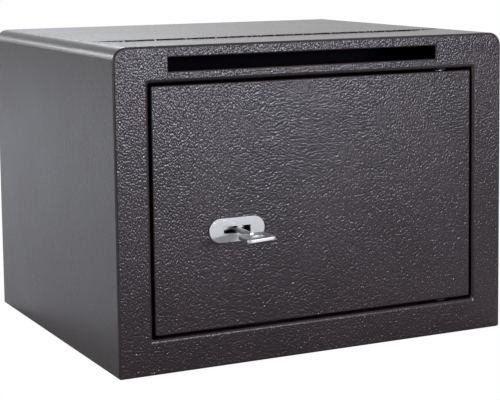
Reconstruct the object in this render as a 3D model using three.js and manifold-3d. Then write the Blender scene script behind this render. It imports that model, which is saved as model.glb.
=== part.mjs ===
// Drop safe with an open deposit slot over a key-locked door, in millimetres.
// +X is to the right, +Y to the back and +Z up. The origin is the middle of the footprint.
import * as THREE from 'three';
import { mergeVertices } from 'three/addons/utils/BufferGeometryUtils.js';
import Module from 'manifold-3d';

const wasm = await Module();
wasm.setup();

// Body sizes
const bodyWidth = 350;
const bodyDepth = 300;
const bodyHeight = 255;
const bodySheet = 2;
const roofCornerRadius = 11;
const floorCornerRadius = 2;
const frontEdgeRadius = 3.5;
const frameFlangeDepth = 12;

// Gaps between pieces that touch, and between pieces that move
const fitGap = 0.3;
const runningGap = 0.6;
const overrun = 2;
const mergeDistance = 1e-4;

// Doorway: a border round the door, and lips folded into the body
const frameBorder = 28.5;
const lipBendRadius = 4;
const lipDepth = 30;
const openingCornerRadius = 1.5;

// Deposit slot in the front, and the chute under it
const slotLength = 240;
const slotHeight = 10.5;
const slotDrop = 9.2;
const slotOffset = -10;
const chuteSheet = 1.5;
const chuteMargin = 2;
const chuteFlangeHeight = 3.6;
const chuteRun = 46;
const chuteFall = 6;
const chuteNoseRun = 6;
const chuteNoseFall = 6.5;
const chuteToothPitch = 12;
const chuteToothDepth = 5;

// Baffle that hangs from the roof behind the chute, held by a row of tabs
const baffleSetback = 80;
const baffleSheet = 2;
const baffleDrop = 47;
const baffleFoldRun = 22;
const baffleFoldDrop = 18;
const baffleEdgeInset = 12;
const tabCount = 12;
const tabRowInset = 13;
const tabBridge = 2.8;
const tabSlotGap = 0.6;
const tabRecess = 1;
const baffleToothPitch = 13;
const baffleToothDepth = 5;

// Rear panel and the anchor holes
const rearRecess = 1.5;
const anchorHoleRadius = 5.5;
const anchorSpacing = 200;
const anchorFloorSetback = 20;

// Floor mat
const matThickness = 2;
const matSideMargin = 12;
const matFrontClearance = 6;
const matRearMargin = 8;
const matHoleRadius = 9;
const matCornerRadius = 6;

// Door leaf
const doorGap = 2;
const doorRecess = 1;
const doorThickness = 3;
const doorCornerRadius = 2;
const doorEdgeRadius = 0.8;

// Hinge pins near the right edge, seen from the front
const hingeInset = 26;
const hingeDepth = 9;
const hingePinRadius = 4;
const hingePinLength = 29;
const hingePinReach = 3;
const hingeBlockWidth = 20;
const hingeBlockHeight = 30;
const hingeBlockWall = 3;
const hingeBlockInset = 1.1;
const bushWall = 1.2;
const bushFlangeRadius = 7;
const bushFlangeThickness = 1.2;

// Lock: the key's height above the door's lower edge, the keyway and the case
const lockRise = 78;
const keywayLength = 23;
const keywayHeight = 5.4;
const caseWidth = 56;
const caseHeight = 40;
const caseDepth = 14.7;
const caseCornerRadius = 4;
const caseRearWall = 2.5;
const caseEarLength = 11;
const caseEarHeight = 18;
const caseEarThickness = 3;
const caseEarClearance = 1.5;
const chamberRadius = 11.3;

// Key: double-bitted, with a rounded bow and an oval ring hole
const keyShankRadius = 2.2;
const keyBitReach = 10;
const keyBitLength = 7.5;
const keyBitThickness = 2.6;
const keyBitSetback = 4;
const keyTipReach = 1.3;
const keyBowSetback = 24;
const keyBowLength = 22.2;
const keyBowWidth = 24.4;
const keyBowThickness = 2.5;
const keyBowRearRadius = 6;
const keyBowFrontRadius = 3.5;
const keyHoleWidth = 11;
const keyHoleRadius = 3.8;
const keyHoleShare = 0.62;
const keyBitShares = [1, 0.74, 0.88, 0.62, 0.8, 0.68, 1];

// Rotor that the key turns, and the cam on its tail
const rotorRadius = 6;
const rotorFrontSetback = 3.4;
const rotorNeckRadius = 5;
const rotorTailSide = 7;
const rotorTailRadius = 3;
const camThickness = 3;
const camRadius = 28;
const camTrackStart = 10.5;
const camNutFlats = 10;
const camNutHeight = 4;
const lightenHoleRadius = 4;
const lightenHolePlace = 15;

// Bolt bar, its bolts and its guides
const boltThrow = 12;
const boltEndInset = 52;
const boltRadius = 8;
const boltReach = 25.5;
const boltTipChamfer = 1.2;
const boltTenonRadius = 4;
const boltHeadRadius = 6;
const boltHeadThickness = 1.5;
const boltDepth = 12;
const boltEdgeInset = 0.7;
const barSheet = 2.5;
const barLegSheet = 3;
const barLegFront = 3.8;
const barEndInset = 33;
const barRightReach = 29;
const followerRadius = 2.5;
const guideStudRadius = 3;
const guideShoulderRadius = 4.5;
const guideOffset = -8;
const guideEndInset = 7;
const guideNutFlats = 10;
const guideNutHeight = 4;
const barCornerRadius = 5;
const studThread = 2;

// Bracket that guides the bolts along the door's left edge, and the keeper in the frame
const bracketSheet = 2.5;
const bracketInset = 6.5;
const bracketFoot = 16;
const bracketEndInset = 28;
const boltHoleGap = 0.5;
const strikeGap = 1.6;
const keeperThickness = 3;
const keeperEndMargin = 22;
const keeperFrontInset = 4;
const keeperRearInset = 2;
const stopLength = 18;
const stopReach = 7;
const stopSheet = 2;
const stopEndMargin = 16;

// Cover over the lock and the bolt bar
const coverSheet = 1.2;
const coverDepth = 29.7;
const coverMargin = 6;
const coverCornerRadius = 3;
const coverFlange = 12;
const coverStudRadius = 2;
const coverStudInset = 14;
const coverNutFlats = 7;
const coverNutHeight = 3.2;
const lockStudRadius = 2.5;
const lockNutFlats = 8;
const lockNutHeight = 4;

// Escutcheon plate round the keyway
const plateLength = 48;
const plateHeight = 19.5;
const plateThickness = 1.5;
const plateEdgeRadius = 0.6;
const platePegRadius = 1.5;
const platePegSpacing = 36;

// Curve steps
const cornerSteps = 6;
const bendSteps = 5;
const fineSteps = 32;
const roundSteps = 20;
const holeSteps = 10;
const nutSteps = 12;
const nutSides = 6;
const edgeSteps = 2;
const trackSteps = 24;
const quarterTurn = Math.PI / 2;

// Places worked out from the sizes
const halfWidth = bodyWidth / 2;
const halfDepth = bodyDepth / 2;
const frameFront = -halfDepth;
const frameRear = frameFront + frameFlangeDepth;
const lipRear = frameFront + lipDepth;
const openingHalfWidth = halfWidth - frameBorder;
const openingLow = frameBorder;
const openingHigh = bodyHeight - frameBorder;
const doorHalfWidth = openingHalfWidth - doorGap;
const doorHalfHeight = (openingHigh - openingLow) / 2 - doorGap;
const doorFace = frameFront + doorRecess;
const doorRear = doorFace + doorThickness;
const doorMiddle = bodyHeight / 2;
const hingeX = doorHalfWidth - hingeInset;
const hingeY = doorFace + hingeDepth;
const pinBore = hingePinRadius + fitGap;
const bushRadius = pinBore + bushWall;
const slotHigh = bodyHeight - slotDrop;
const slotLow = slotHigh - slotHeight;
const baffleY = frameFront + baffleSetback;
const tabPitch = (bodyWidth - 2 * tabRowInset) / tabCount;
const caseHalfSpan = caseWidth / 2 + caseEarLength;
const boltTipX = -doorHalfWidth + boltEdgeInset;
const lockOffset = boltTipX + boltReach + fitGap + barLegSheet + caseEarClearance + caseHalfSpan;
const lockDrop = doorHalfHeight - lockRise;
const boltHalfSpacing = doorHalfHeight - boltEndInset;

// In the lock's own frame the origin is on the key's axis at the back of the door leaf
const caseFront = fitGap;
const caseRear = caseFront + caseDepth;
const barFront = caseRear + runningGap + fitGap;
const barRear = barFront + barSheet;
const camFront = barRear + runningGap;
const camRear = camFront + camThickness;
const rotorTailEnd = camRear + camNutHeight + runningGap;
const upperBoltHeight = boltHalfSpacing + lockDrop;
const lowerBoltHeight = -boltHalfSpacing + lockDrop;
const boltTip = boltTipX - lockOffset;
const barLegLeft = boltTip + boltReach + fitGap;
const barLegRight = barLegLeft + barLegSheet;
const barLow = lockDrop - doorHalfHeight + barEndInset;
const barHigh = lockDrop + doorHalfHeight - barEndInset;
const upperGuideHeight = barHigh - guideEndInset;
const lowerGuideHeight = barLow + guideEndInset;
const bracketLeft = -doorHalfWidth + bracketInset - lockOffset;
const bracketRight = bracketLeft + bracketSheet;
const bracketLow = lockDrop - doorHalfHeight + bracketEndInset;
const bracketHigh = lockDrop + doorHalfHeight - bracketEndInset;
const boltHoleRadius = boltRadius + boltHoleGap;
const boltY = doorRear + boltDepth;

// Solid from a closed geometry
function solid(geometry) {
  const bare = geometry.clone();
  bare.deleteAttribute('normal');
  bare.deleteAttribute('uv');
  const merged = mergeVertices(bare, mergeDistance);
  return new wasm.Manifold(new wasm.Mesh({
    numProp: 3,
    vertProperties: new Float32Array(merged.attributes.position.array),
    triVerts: new Uint32Array(merged.index.array),
  }));
}

// Geometry from a solid
function geometryOf(body) {
  const mesh = body.getMesh();
  const geometry = new THREE.BufferGeometry();
  const places = new Float32Array(mesh.vertProperties);
  geometry.setAttribute('position', new THREE.BufferAttribute(places, 3));
  geometry.setIndex(new THREE.BufferAttribute(new Uint32Array(mesh.triVerts), 1));
  return geometry;
}

// Named mesh with its own material
function addPiece(parent, name, body, finish) {
  const geometry = geometryOf(body);
  geometry.computeVertexNormals();
  const piece = new THREE.Mesh(geometry, new THREE.MeshStandardMaterial(finish));
  piece.name = name;
  parent.add(piece);
  return piece;
}

// Corner-rounded outline, anticlockwise, with one radius above and one below
function roundedOutline(left, right, low, high, upperRadius, lowerRadius) {
  const points = [];
  const corners = [
    [right - lowerRadius, low + lowerRadius, lowerRadius, -quarterTurn],
    [right - upperRadius, high - upperRadius, upperRadius, 0],
    [left + upperRadius, high - upperRadius, upperRadius, quarterTurn],
    [left + lowerRadius, low + lowerRadius, lowerRadius, 2 * quarterTurn],
  ];
  for (const [x, z, radius, start] of corners) {
    for (let step = 0; step <= cornerSteps; step += 1) {
      const angle = start + quarterTurn * step / cornerSteps;
      points.push(new THREE.Vector2(x + radius * Math.cos(angle), z + radius * Math.sin(angle)));
    }
  }
  return points;
}

// Shape with rounded corners
function roundedShape(left, right, low, high, radius) {
  return new THREE.Shape(roundedOutline(left, right, low, high, radius, radius));
}

// Round outline, for a disc or a hole
function roundPath(x, y, radius) {
  return new THREE.Path().absarc(x, y, radius, 0, 4 * quarterTurn, true);
}

// Solid lofted through outlines that stand one behind the other along Y
function loft(sections) {
  const count = sections[0].outline.length;
  const places = [];
  const faces = [];
  for (const { y, outline } of sections) {
    for (const point of outline) places.push(point.x, y, point.y);
  }
  for (let ring = 0; ring < sections.length - 1; ring += 1) {
    for (let index = 0; index < count; index += 1) {
      const near = ring * count + index;
      const nearNext = ring * count + (index + 1) % count;
      faces.push(near, near + count, nearNext + count);
      faces.push(near, nearNext + count, nearNext);
    }
  }
  const last = (sections.length - 1) * count;
  for (let index = 1; index < count - 1; index += 1) {
    faces.push(0, index, index + 1);
    faces.push(last, last + index + 1, last + index);
  }
  const geometry = new THREE.BufferGeometry();
  geometry.setAttribute('position', new THREE.Float32BufferAttribute(places, 3));
  geometry.setIndex(faces);
  return solid(geometry);
}

// Shape in X and Z, made thick along Y from front to rear
function plateAlongY(shape, front, rear) {
  const geometry = new THREE.ExtrudeGeometry(shape, {
    depth: rear - front, bevelEnabled: false, curveSegments: holeSteps,
  });
  geometry.rotateX(quarterTurn);
  geometry.translate(0, rear, 0);
  return solid(geometry);
}

// Shape in X and Y, made thick along Z
function plateAlongZ(shape, low, high) {
  const geometry = new THREE.ExtrudeGeometry(shape, {
    depth: high - low, bevelEnabled: false, curveSegments: holeSteps,
  });
  geometry.translate(0, 0, low);
  return solid(geometry);
}

// Shape in Y and Z, made thick along X
function plateAlongX(shape, left, right) {
  const geometry = new THREE.ExtrudeGeometry(shape, {
    depth: right - left, bevelEnabled: false, curveSegments: holeSteps,
  });
  const turn = new THREE.Matrix4().makeBasis(
    new THREE.Vector3(0, 1, 0), new THREE.Vector3(0, 0, 1), new THREE.Vector3(1, 0, 0));
  geometry.applyMatrix4(turn);
  geometry.translate(left, 0, 0);
  return solid(geometry);
}

// Block between two corners
function block(left, right, front, rear, low, high) {
  const geometry = new THREE.BoxGeometry(right - left, rear - front, high - low);
  geometry.translate((left + right) / 2, (front + rear) / 2, (low + high) / 2);
  return solid(geometry);
}

// Turned piece: radius and height pairs, revolved about its own axis
function turned(profile, steps, direction, place) {
  const outline = profile.map(([radius, height]) => new THREE.Vector2(radius, height));
  const geometry = new THREE.LatheGeometry(outline, steps);
  const turn = new THREE.Quaternion().setFromUnitVectors(new THREE.Vector3(0, 1, 0), direction);
  geometry.applyQuaternion(turn);
  geometry.translate(...place);
  return solid(geometry);
}

const alongX = new THREE.Vector3(1, 0, 0);
const alongY = new THREE.Vector3(0, 1, 0);
const alongZ = new THREE.Vector3(0, 0, 1);

// Plain round bar from one height to another on its axis
function roundBar(radius, start, end, steps, direction, place) {
  const profile = [[0, start], [radius, start], [radius, end], [0, end]];
  return turned(profile, steps, direction, place);
}

// Hexagon nut with a chamfered outer rim, on an axis along Y
function nut(flats, bore, start, height) {
  const corner = flats / 2 / Math.cos(2 * quarterTurn / nutSides);
  const hexagon = new THREE.Shape();
  for (let side = 0; side < nutSides; side += 1) {
    const angle = 4 * quarterTurn * side / nutSides;
    const x = corner * Math.cos(angle);
    const z = corner * Math.sin(angle);
    if (side === 0) hexagon.moveTo(x, z);
    else hexagon.lineTo(x, z);
  }
  hexagon.closePath();
  hexagon.holes.push(roundPath(0, 0, bore));
  const body = plateAlongY(hexagon, start, start + height);
  const fall = corner - flats / 2;
  const cone = turned([
    [0, start - overrun], [corner + overrun, start - overrun], [corner + overrun, start + height - fall],
    [flats / 2, start + height], [0, start + height],
  ], nutSteps, alongY, [0, 0, 0]);
  return body.intersect(cone);
}

// Sheet folded along a path of points, with its thickness laid half to each side
function foldedSheet(path, thickness) {
  const normals = [];
  for (let index = 0; index < path.length - 1; index += 1) {
    const run = path[index + 1].clone().sub(path[index]).normalize();
    normals.push(new THREE.Vector2(-run.y, run.x));
  }
  const sides = [[], []];
  path.forEach((point, index) => {
    const before = normals[Math.max(index - 1, 0)];
    const after = normals[Math.min(index, normals.length - 1)];
    const mitre = before.clone().add(after).normalize();
    const reach = thickness / 2 / mitre.dot(after);
    sides[0].push(point.clone().addScaledVector(mitre, reach));
    sides[1].push(point.clone().addScaledVector(mitre, -reach));
  });
  return new THREE.Shape([...sides[1], ...sides[0].reverse()]);
}

// Row of pointed notches to cut from a sheet's lower edge, seen along Y
function notchRow(left, right, edge, pitch, depth) {
  const count = Math.floor((right - left) / pitch);
  const start = (left + right - count * pitch) / 2;
  const shape = new THREE.Shape();
  shape.moveTo(start, edge);
  for (let index = 0; index < count; index += 1) {
    shape.lineTo(start + (index + 1 / 2) * pitch, edge + depth);
    shape.lineTo(start + (index + 1) * pitch, edge);
  }
  shape.lineTo(start + count * pitch, edge - depth);
  shape.lineTo(start, edge - depth);
  shape.closePath();
  return shape;
}

const paint = { color: 0x4a474b, roughness: 0.55, metalness: 0.3 };
const primer = { color: 0x55565a, roughness: 0.6, metalness: 0.3 };
const zinc = { color: 0xb9bcc0, roughness: 0.35, metalness: 0.9 };
const steel = { color: 0x9a9da1, roughness: 0.3, metalness: 0.95 };
const nickel = { color: 0xcdcfd4, roughness: 0.22, metalness: 1 };
const brass = { color: 0xb08d4a, roughness: 0.35, metalness: 0.9 };
const felt = { color: 0x2c2b2e, roughness: 0.95, metalness: 0 };

const safe = new THREE.Group();
const door = new THREE.Group();
door.position.set(0, doorFace, doorMiddle);
safe.add(door);
const lock = new THREE.Group();
lock.position.set(lockOffset, doorThickness, -lockDrop);
door.add(lock);

// Outline of the body at a distance inside its outer faces
function bodyOutline(inset) {
  return roundedOutline(-halfWidth + inset, halfWidth - inset, inset, bodyHeight - inset,
    Math.max(roofCornerRadius - inset, fitGap), Math.max(floorCornerRadius - inset, fitGap));
}

// Outline of the doorway at a distance outside its inner faces
function doorwayOutline(offset) {
  const radius = openingCornerRadius + offset;
  return roundedOutline(-openingHalfWidth - offset, openingHalfWidth + offset,
    openingLow - offset, openingHigh + offset, radius, radius);
}

// Trumpet-shaped solid whose side follows the bend of the doorway's lip
function lipTrumpet(arcRadius, frontEnd, rearEnd) {
  const sections = [{ y: frontEnd, outline: doorwayOutline(lipBendRadius) }];
  for (let step = bendSteps; step >= 0; step -= 1) {
    const angle = quarterTurn * step / bendSteps;
    sections.push({
      y: frameFront + lipBendRadius - arcRadius * Math.sin(angle),
      outline: doorwayOutline(lipBendRadius - arcRadius * Math.cos(angle)),
    });
  }
  sections.push({ y: rearEnd, outline: doorwayOutline(lipBendRadius - arcRadius) });
  return loft(sections);
}

// Roof, sides and floor, folded from one sheet, with the row of tab slots and the floor anchor holes
function bodyWrap() {
  const front = frameRear + fitGap;
  let body = loft([
    { y: front, outline: bodyOutline(0) },
    { y: halfDepth, outline: bodyOutline(0) },
  ]);
  body = body.subtract(loft([
    { y: front - overrun, outline: bodyOutline(bodySheet) },
    { y: halfDepth + overrun, outline: bodyOutline(bodySheet) },
  ]));
  const slotHalf = baffleSheet / 2 + tabSlotGap;
  for (let index = 0; index < tabCount; index += 1) {
    const middle = (index - (tabCount - 1) / 2) * tabPitch;
    const half = (tabPitch - tabBridge) / 2;
    body = body.subtract(block(middle - half, middle + half, baffleY - slotHalf, baffleY + slotHalf,
      bodyHeight - bodySheet - overrun, bodyHeight + overrun));
  }
  for (const side of [-1, 1]) {
    body = body.subtract(roundBar(anchorHoleRadius, -overrun, bodySheet + overrun, roundSteps, alongZ,
      [side * anchorSpacing / 2, anchorFloorSetback, 0]));
  }
  return body;
}

// Front frame: a pressed pan with rounded outer edges, lips folded into the doorway, and the slot
function frontFrame() {
  const sections = [];
  for (let step = 0; step <= bendSteps; step += 1) {
    const angle = quarterTurn * step / bendSteps;
    sections.push({
      y: frameFront + frontEdgeRadius * (1 - Math.sin(angle)),
      outline: bodyOutline(frontEdgeRadius * (1 - Math.cos(angle))),
    });
  }
  sections.reverse();
  sections.push({ y: frameRear, outline: bodyOutline(0) });
  let frame = loft(sections);
  const inner = frontEdgeRadius - bodySheet;
  frame = frame.subtract(loft([
    { y: frameFront + bodySheet, outline: bodyOutline(bodySheet + inner) },
    { y: frameFront + bodySheet + inner, outline: bodyOutline(bodySheet) },
    { y: frameRear + overrun, outline: bodyOutline(bodySheet) },
  ]));
  frame = frame.add(lipTrumpet(lipBendRadius - bodySheet, frameFront + bodySheet / 2, lipRear));
  frame = frame.subtract(lipTrumpet(lipBendRadius, frameFront - overrun, lipRear + overrun));
  frame = frame.subtract(block(slotOffset - slotLength / 2, slotOffset + slotLength / 2,
    frameFront - overrun, frameFront + bodySheet + overrun, slotLow, slotHigh));
  const boltHalf = boltRadius + strikeGap;
  for (const height of [doorMiddle + boltHalfSpacing, doorMiddle - boltHalfSpacing]) {
    frame = frame.subtract(block(-openingHalfWidth - bodySheet - overrun, -openingHalfWidth + overrun,
      boltY - boltHalf, boltY + boltHalf, height - boltHalf, height + boltHalf));
  }
  const bushHole = bushRadius + fitGap;
  for (const [low, high] of [
    [openingLow - bodySheet - overrun, openingLow + overrun],
    [openingHigh - overrun, openingHigh + bodySheet + overrun],
  ]) {
    frame = frame.subtract(roundBar(bushHole, low, high, fineSteps, alongZ, [hingeX, hingeY, 0]));
  }
  return frame;
}

// Flat rear panel, welded just inside the wrap's rear edge, with two anchor holes
function rearPanel() {
  const inset = bodySheet + fitGap;
  const shape = new THREE.Shape(bodyOutline(inset));
  for (const side of [-1, 1]) {
    shape.holes.push(roundPath(side * anchorSpacing / 2, doorMiddle, anchorHoleRadius));
  }
  return plateAlongY(shape, halfDepth - rearRecess - bodySheet, halfDepth - rearRecess);
}

// Chute under the deposit slot: a weld flange, a sloping floor and a toothed nose
function depositChute() {
  const flangeFront = frameFront + bodySheet + fitGap;
  const middle = flangeFront + chuteSheet / 2;
  const top = slotLow - fitGap - chuteSheet / 2;
  const path = [
    new THREE.Vector2(middle, top - chuteFlangeHeight),
    new THREE.Vector2(middle, top),
    new THREE.Vector2(middle + chuteRun, top - chuteFall),
    new THREE.Vector2(middle + chuteRun + chuteNoseRun, top - chuteFall - chuteNoseFall),
  ];
  const left = slotOffset - slotLength / 2 - chuteMargin;
  const right = slotOffset + slotLength / 2 + chuteMargin;
  const chute = plateAlongX(foldedSheet(path, chuteSheet), left, right);
  const edge = top - chuteFall - chuteNoseFall - chuteSheet;
  const notches = notchRow(left + chuteToothPitch / 2, right - chuteToothPitch / 2, edge,
    chuteToothPitch, chuteToothDepth);
  return chute.subtract(plateAlongY(notches, middle + chuteRun, middle + chuteRun + 2 * chuteNoseRun));
}

// Baffle against fishing: tabs in the roof's slots, a hanging wall and a toothed fold towards the chute
function fishingBaffle() {
  const roof = bodyHeight - bodySheet - fitGap;
  const fold = roof - baffleDrop;
  const path = [
    new THREE.Vector2(baffleY, roof),
    new THREE.Vector2(baffleY, fold),
    new THREE.Vector2(baffleY - baffleFoldRun, fold - baffleFoldDrop),
  ];
  const half = halfWidth - baffleEdgeInset;
  let baffle = plateAlongX(foldedSheet(path, baffleSheet), -half, half);
  const tabHalf = (tabPitch - tabBridge) / 2 - fitGap;
  for (let index = 0; index < tabCount; index += 1) {
    const middle = (index - (tabCount - 1) / 2) * tabPitch;
    baffle = baffle.add(block(middle - tabHalf, middle + tabHalf, baffleY - baffleSheet / 2,
      baffleY + baffleSheet / 2, roof - overrun, bodyHeight - tabRecess));
  }
  const edge = fold - baffleFoldDrop - baffleSheet;
  const notches = notchRow(-half + baffleToothPitch / 2, half - baffleToothPitch / 2, edge,
    baffleToothPitch, baffleToothDepth + baffleSheet);
  return baffle.subtract(plateAlongY(notches, baffleY - 2 * baffleFoldRun, baffleY - baffleSheet));
}

// Mat on the floor, cut out round the anchor holes
function floorMat() {
  const half = halfWidth - bodySheet - matSideMargin;
  const shape = roundedShape(-half, half, lipRear + matFrontClearance,
    halfDepth - rearRecess - bodySheet - matRearMargin, matCornerRadius);
  for (const side of [-1, 1]) {
    shape.holes.push(roundPath(side * anchorSpacing / 2, anchorFloorSetback, matHoleRadius));
  }
  return plateAlongZ(shape, bodySheet + fitGap, bodySheet + fitGap + matThickness);
}

// Strip welded behind the left lip, which doubles the frame where the bolts enter
function boltKeeper() {
  const shape = roundedShape(frameFront + keeperFrontInset, lipRear - keeperRearInset,
    doorMiddle - boltHalfSpacing - keeperEndMargin, doorMiddle + boltHalfSpacing + keeperEndMargin,
    bodySheet);
  const boltHalf = boltRadius + strikeGap;
  for (const side of [-1, 1]) {
    const middle = doorMiddle + side * boltHalfSpacing;
    shape.holes.push(new THREE.Path([[-1, -1], [-1, 1], [1, 1], [1, -1]].map(
      ([y, z]) => new THREE.Vector2(boltY + y * boltHalf, middle + z * boltHalf))));
  }
  const right = -openingHalfWidth - bodySheet - fitGap;
  return plateAlongX(shape, right - keeperThickness, right);
}

// Small angle welded inside the left lip, which the closed door rests against
function doorStop(middle) {
  const lipFace = -openingHalfWidth + fitGap;
  const face = doorRear + fitGap;
  const shape = new THREE.Shape();
  shape.moveTo(lipFace, face);
  shape.lineTo(lipFace + stopReach, face);
  shape.lineTo(lipFace + stopReach, face + stopSheet);
  shape.lineTo(lipFace + stopSheet, face + stopSheet);
  shape.lineTo(lipFace + stopSheet, face + stopReach);
  shape.lineTo(lipFace, face + stopReach);
  shape.closePath();
  return plateAlongZ(shape, middle - stopLength / 2, middle + stopLength / 2);
}

// Flanged bush in a lip: the flange faces the door, and up is 1 for the upper one
function hingeBush(lip, up) {
  const base = -fitGap;
  const far = bodySheet + fitGap;
  return turned([
    [pinBore, base - bushFlangeThickness], [bushFlangeRadius, base - bushFlangeThickness],
    [bushFlangeRadius, base], [bushRadius, base], [bushRadius, far], [pinBore, far],
    [pinBore, base - bushFlangeThickness],
  ], fineSteps, alongZ.clone().multiplyScalar(up), [hingeX, hingeY, lip]);
}

// Thrust washer on the lower bush, which carries the door's weight
function thrustWasher() {
  const low = openingLow + 2 * fitGap + bushFlangeThickness;
  const high = doorMiddle - doorHalfHeight + hingeBlockInset - fitGap;
  const rim = hingeDepth - doorThickness - fitGap;
  return turned([
    [pinBore, low], [rim, low], [rim, high], [pinBore, high], [pinBore, low],
  ], fineSteps, alongZ, [hingeX, hingeY, 0]);
}

addPiece(safe, 'body_wrap', bodyWrap(), paint);
addPiece(safe, 'front_frame', frontFrame(), paint);
addPiece(safe, 'rear_panel', rearPanel(), paint);
addPiece(safe, 'deposit_chute', depositChute(), primer);
addPiece(safe, 'anti_fishing_baffle', fishingBaffle(), primer);
addPiece(safe, 'floor_mat', floorMat(), felt);
addPiece(safe, 'bolt_keeper', boltKeeper(), primer);
const stopPlace = doorHalfHeight - stopEndMargin;
addPiece(safe, 'upper_door_stop', doorStop(doorMiddle + stopPlace), primer);
addPiece(safe, 'lower_door_stop', doorStop(doorMiddle - stopPlace), primer);
addPiece(safe, 'upper_hinge_bush', hingeBush(openingHigh, 1), brass);
addPiece(safe, 'lower_hinge_bush', hingeBush(openingLow, -1), brass);
addPiece(safe, 'hinge_washer', thrustWasher(), steel);

// Door leaf with a softened front edge, the keyway and the escutcheon's peg holes
function doorLeaf() {
  const outline = (inset) => roundedOutline(-doorHalfWidth + inset, doorHalfWidth - inset,
    -doorHalfHeight + inset, doorHalfHeight - inset, doorCornerRadius - inset, doorCornerRadius - inset);
  const sections = [];
  for (let step = edgeSteps; step >= 0; step -= 1) {
    const angle = quarterTurn * step / edgeSteps;
    sections.push({
      y: doorEdgeRadius * (1 - Math.sin(angle)),
      outline: outline(doorEdgeRadius * (1 - Math.cos(angle))),
    });
  }
  sections.push({ y: doorThickness, outline: outline(0) });
  let leaf = loft(sections);
  const keyHalf = keywayLength / 2 + fitGap;
  const keyRise = keywayHeight / 2 + fitGap;
  leaf = leaf.subtract(block(lockOffset - keyHalf, lockOffset + keyHalf, -overrun, doorThickness + overrun,
    -lockDrop - keyRise, -lockDrop + keyRise));
  for (const side of [-1, 1]) {
    const place = [lockOffset + side * platePegSpacing / 2, 0, -lockDrop];
    leaf = leaf.subtract(roundBar(platePegRadius + fitGap, -overrun, doorThickness + overrun,
      roundSteps, alongY, place));
  }
  return leaf;
}

// Escutcheon: a stadium plate with a softened rim, the keyway and two pegs into the leaf
function escutcheon() {
  const radius = plateHeight / 2;
  const outline = (inset) => roundedOutline(-plateLength / 2 + inset, plateLength / 2 - inset,
    -radius + inset, radius - inset, radius - inset, radius - inset);
  const front = -fitGap - plateThickness;
  let plate = loft([
    { y: front, outline: outline(plateEdgeRadius) },
    { y: front + plateEdgeRadius / 3, outline: outline(plateEdgeRadius / 3) },
    { y: front + plateEdgeRadius, outline: outline(0) },
    { y: -fitGap, outline: outline(0) },
  ]);
  for (const side of [-1, 1]) {
    plate = plate.add(roundBar(platePegRadius, -fitGap - plateThickness / 2, doorThickness + fitGap,
      roundSteps, alongY, [side * platePegSpacing / 2, 0, 0]));
  }
  return plate.subtract(block(-keywayLength / 2, keywayLength / 2, front - overrun, overrun,
    -keywayHeight / 2, keywayHeight / 2));
}

// Hinge block welded behind the leaf, bored for its pin; up is 1 for the upper one
function hingeBlock(up) {
  const end = up * (doorHalfHeight - hingeBlockInset);
  const start = end - up * hingeBlockHeight;
  const rear = hingeDepth + hingePinRadius + hingeBlockWall;
  const shape = roundedShape(hingeX - hingeBlockWidth / 2, hingeX + hingeBlockWidth / 2 - hingeBlockWall,
    doorThickness + fitGap, rear, bodySheet);
  const body = plateAlongZ(shape, Math.min(start, end), Math.max(start, end));
  const pinStart = pinInnerEnd(up);
  const low = Math.min(pinStart - up * fitGap, end + up * overrun);
  const high = Math.max(pinStart - up * fitGap, end + up * overrun);
  return body.subtract(roundBar(pinBore, low, high, fineSteps, alongZ, [hingeX, hingeDepth, 0]));
}

// Inner end of a hinge pin, seen from the middle of the door
function pinInnerEnd(up) {
  return up * (doorHalfHeight + doorGap + hingePinReach - hingePinLength);
}

// Hinge pin with chamfered ends
function hingePin(up) {
  const inner = pinInnerEnd(up);
  const outer = inner + up * hingePinLength;
  const low = Math.min(inner, outer);
  const high = Math.max(inner, outer);
  const chamfer = hingePinRadius / 4;
  return turned([
    [0, low], [hingePinRadius - chamfer, low], [hingePinRadius, low + chamfer],
    [hingePinRadius, high - chamfer], [hingePinRadius - chamfer, high], [0, high],
  ], fineSteps, alongZ, [hingeX, hingeDepth, 0]);
}

addPiece(door, 'door_leaf', doorLeaf(), paint);
addPiece(door, 'upper_hinge_block', hingeBlock(1), steel);
addPiece(door, 'lower_hinge_block', hingeBlock(-1), steel);
addPiece(door, 'upper_hinge_pin', hingePin(1), steel);
addPiece(door, 'lower_hinge_pin', hingePin(-1), steel);
const plate = addPiece(door, 'escutcheon', escutcheon(), nickel);
plate.position.set(lockOffset, 0, -lockDrop);

// Lock case: a chamber for the key's bits, a bearing for the rotor and an ear on each side
function lockCase() {
  const shape = roundedShape(-caseWidth / 2, caseWidth / 2, -caseHeight / 2, caseHeight / 2,
    caseCornerRadius);
  let body = plateAlongY(shape, caseFront, caseRear);
  const ears = roundedShape(-caseHalfSpan, caseHalfSpan, -caseEarHeight / 2, caseEarHeight / 2,
    caseCornerRadius);
  body = body.add(plateAlongY(ears, caseFront, caseFront + caseEarThickness));
  body = body.subtract(roundBar(chamberRadius, -overrun, caseRear - caseRearWall, fineSteps, alongY,
    [0, 0, 0]));
  body = body.subtract(roundBar(rotorNeckRadius + fitGap, 0, caseRear + overrun, fineSteps, alongY,
    [0, 0, 0]));
  for (const side of [-1, 1]) {
    body = body.subtract(roundBar(lockStudRadius + fitGap, -overrun, caseFront + caseEarThickness + overrun,
      roundSteps, alongY, [side * lockStudPlace, 0, 0]));
  }
  return body;
}

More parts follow.
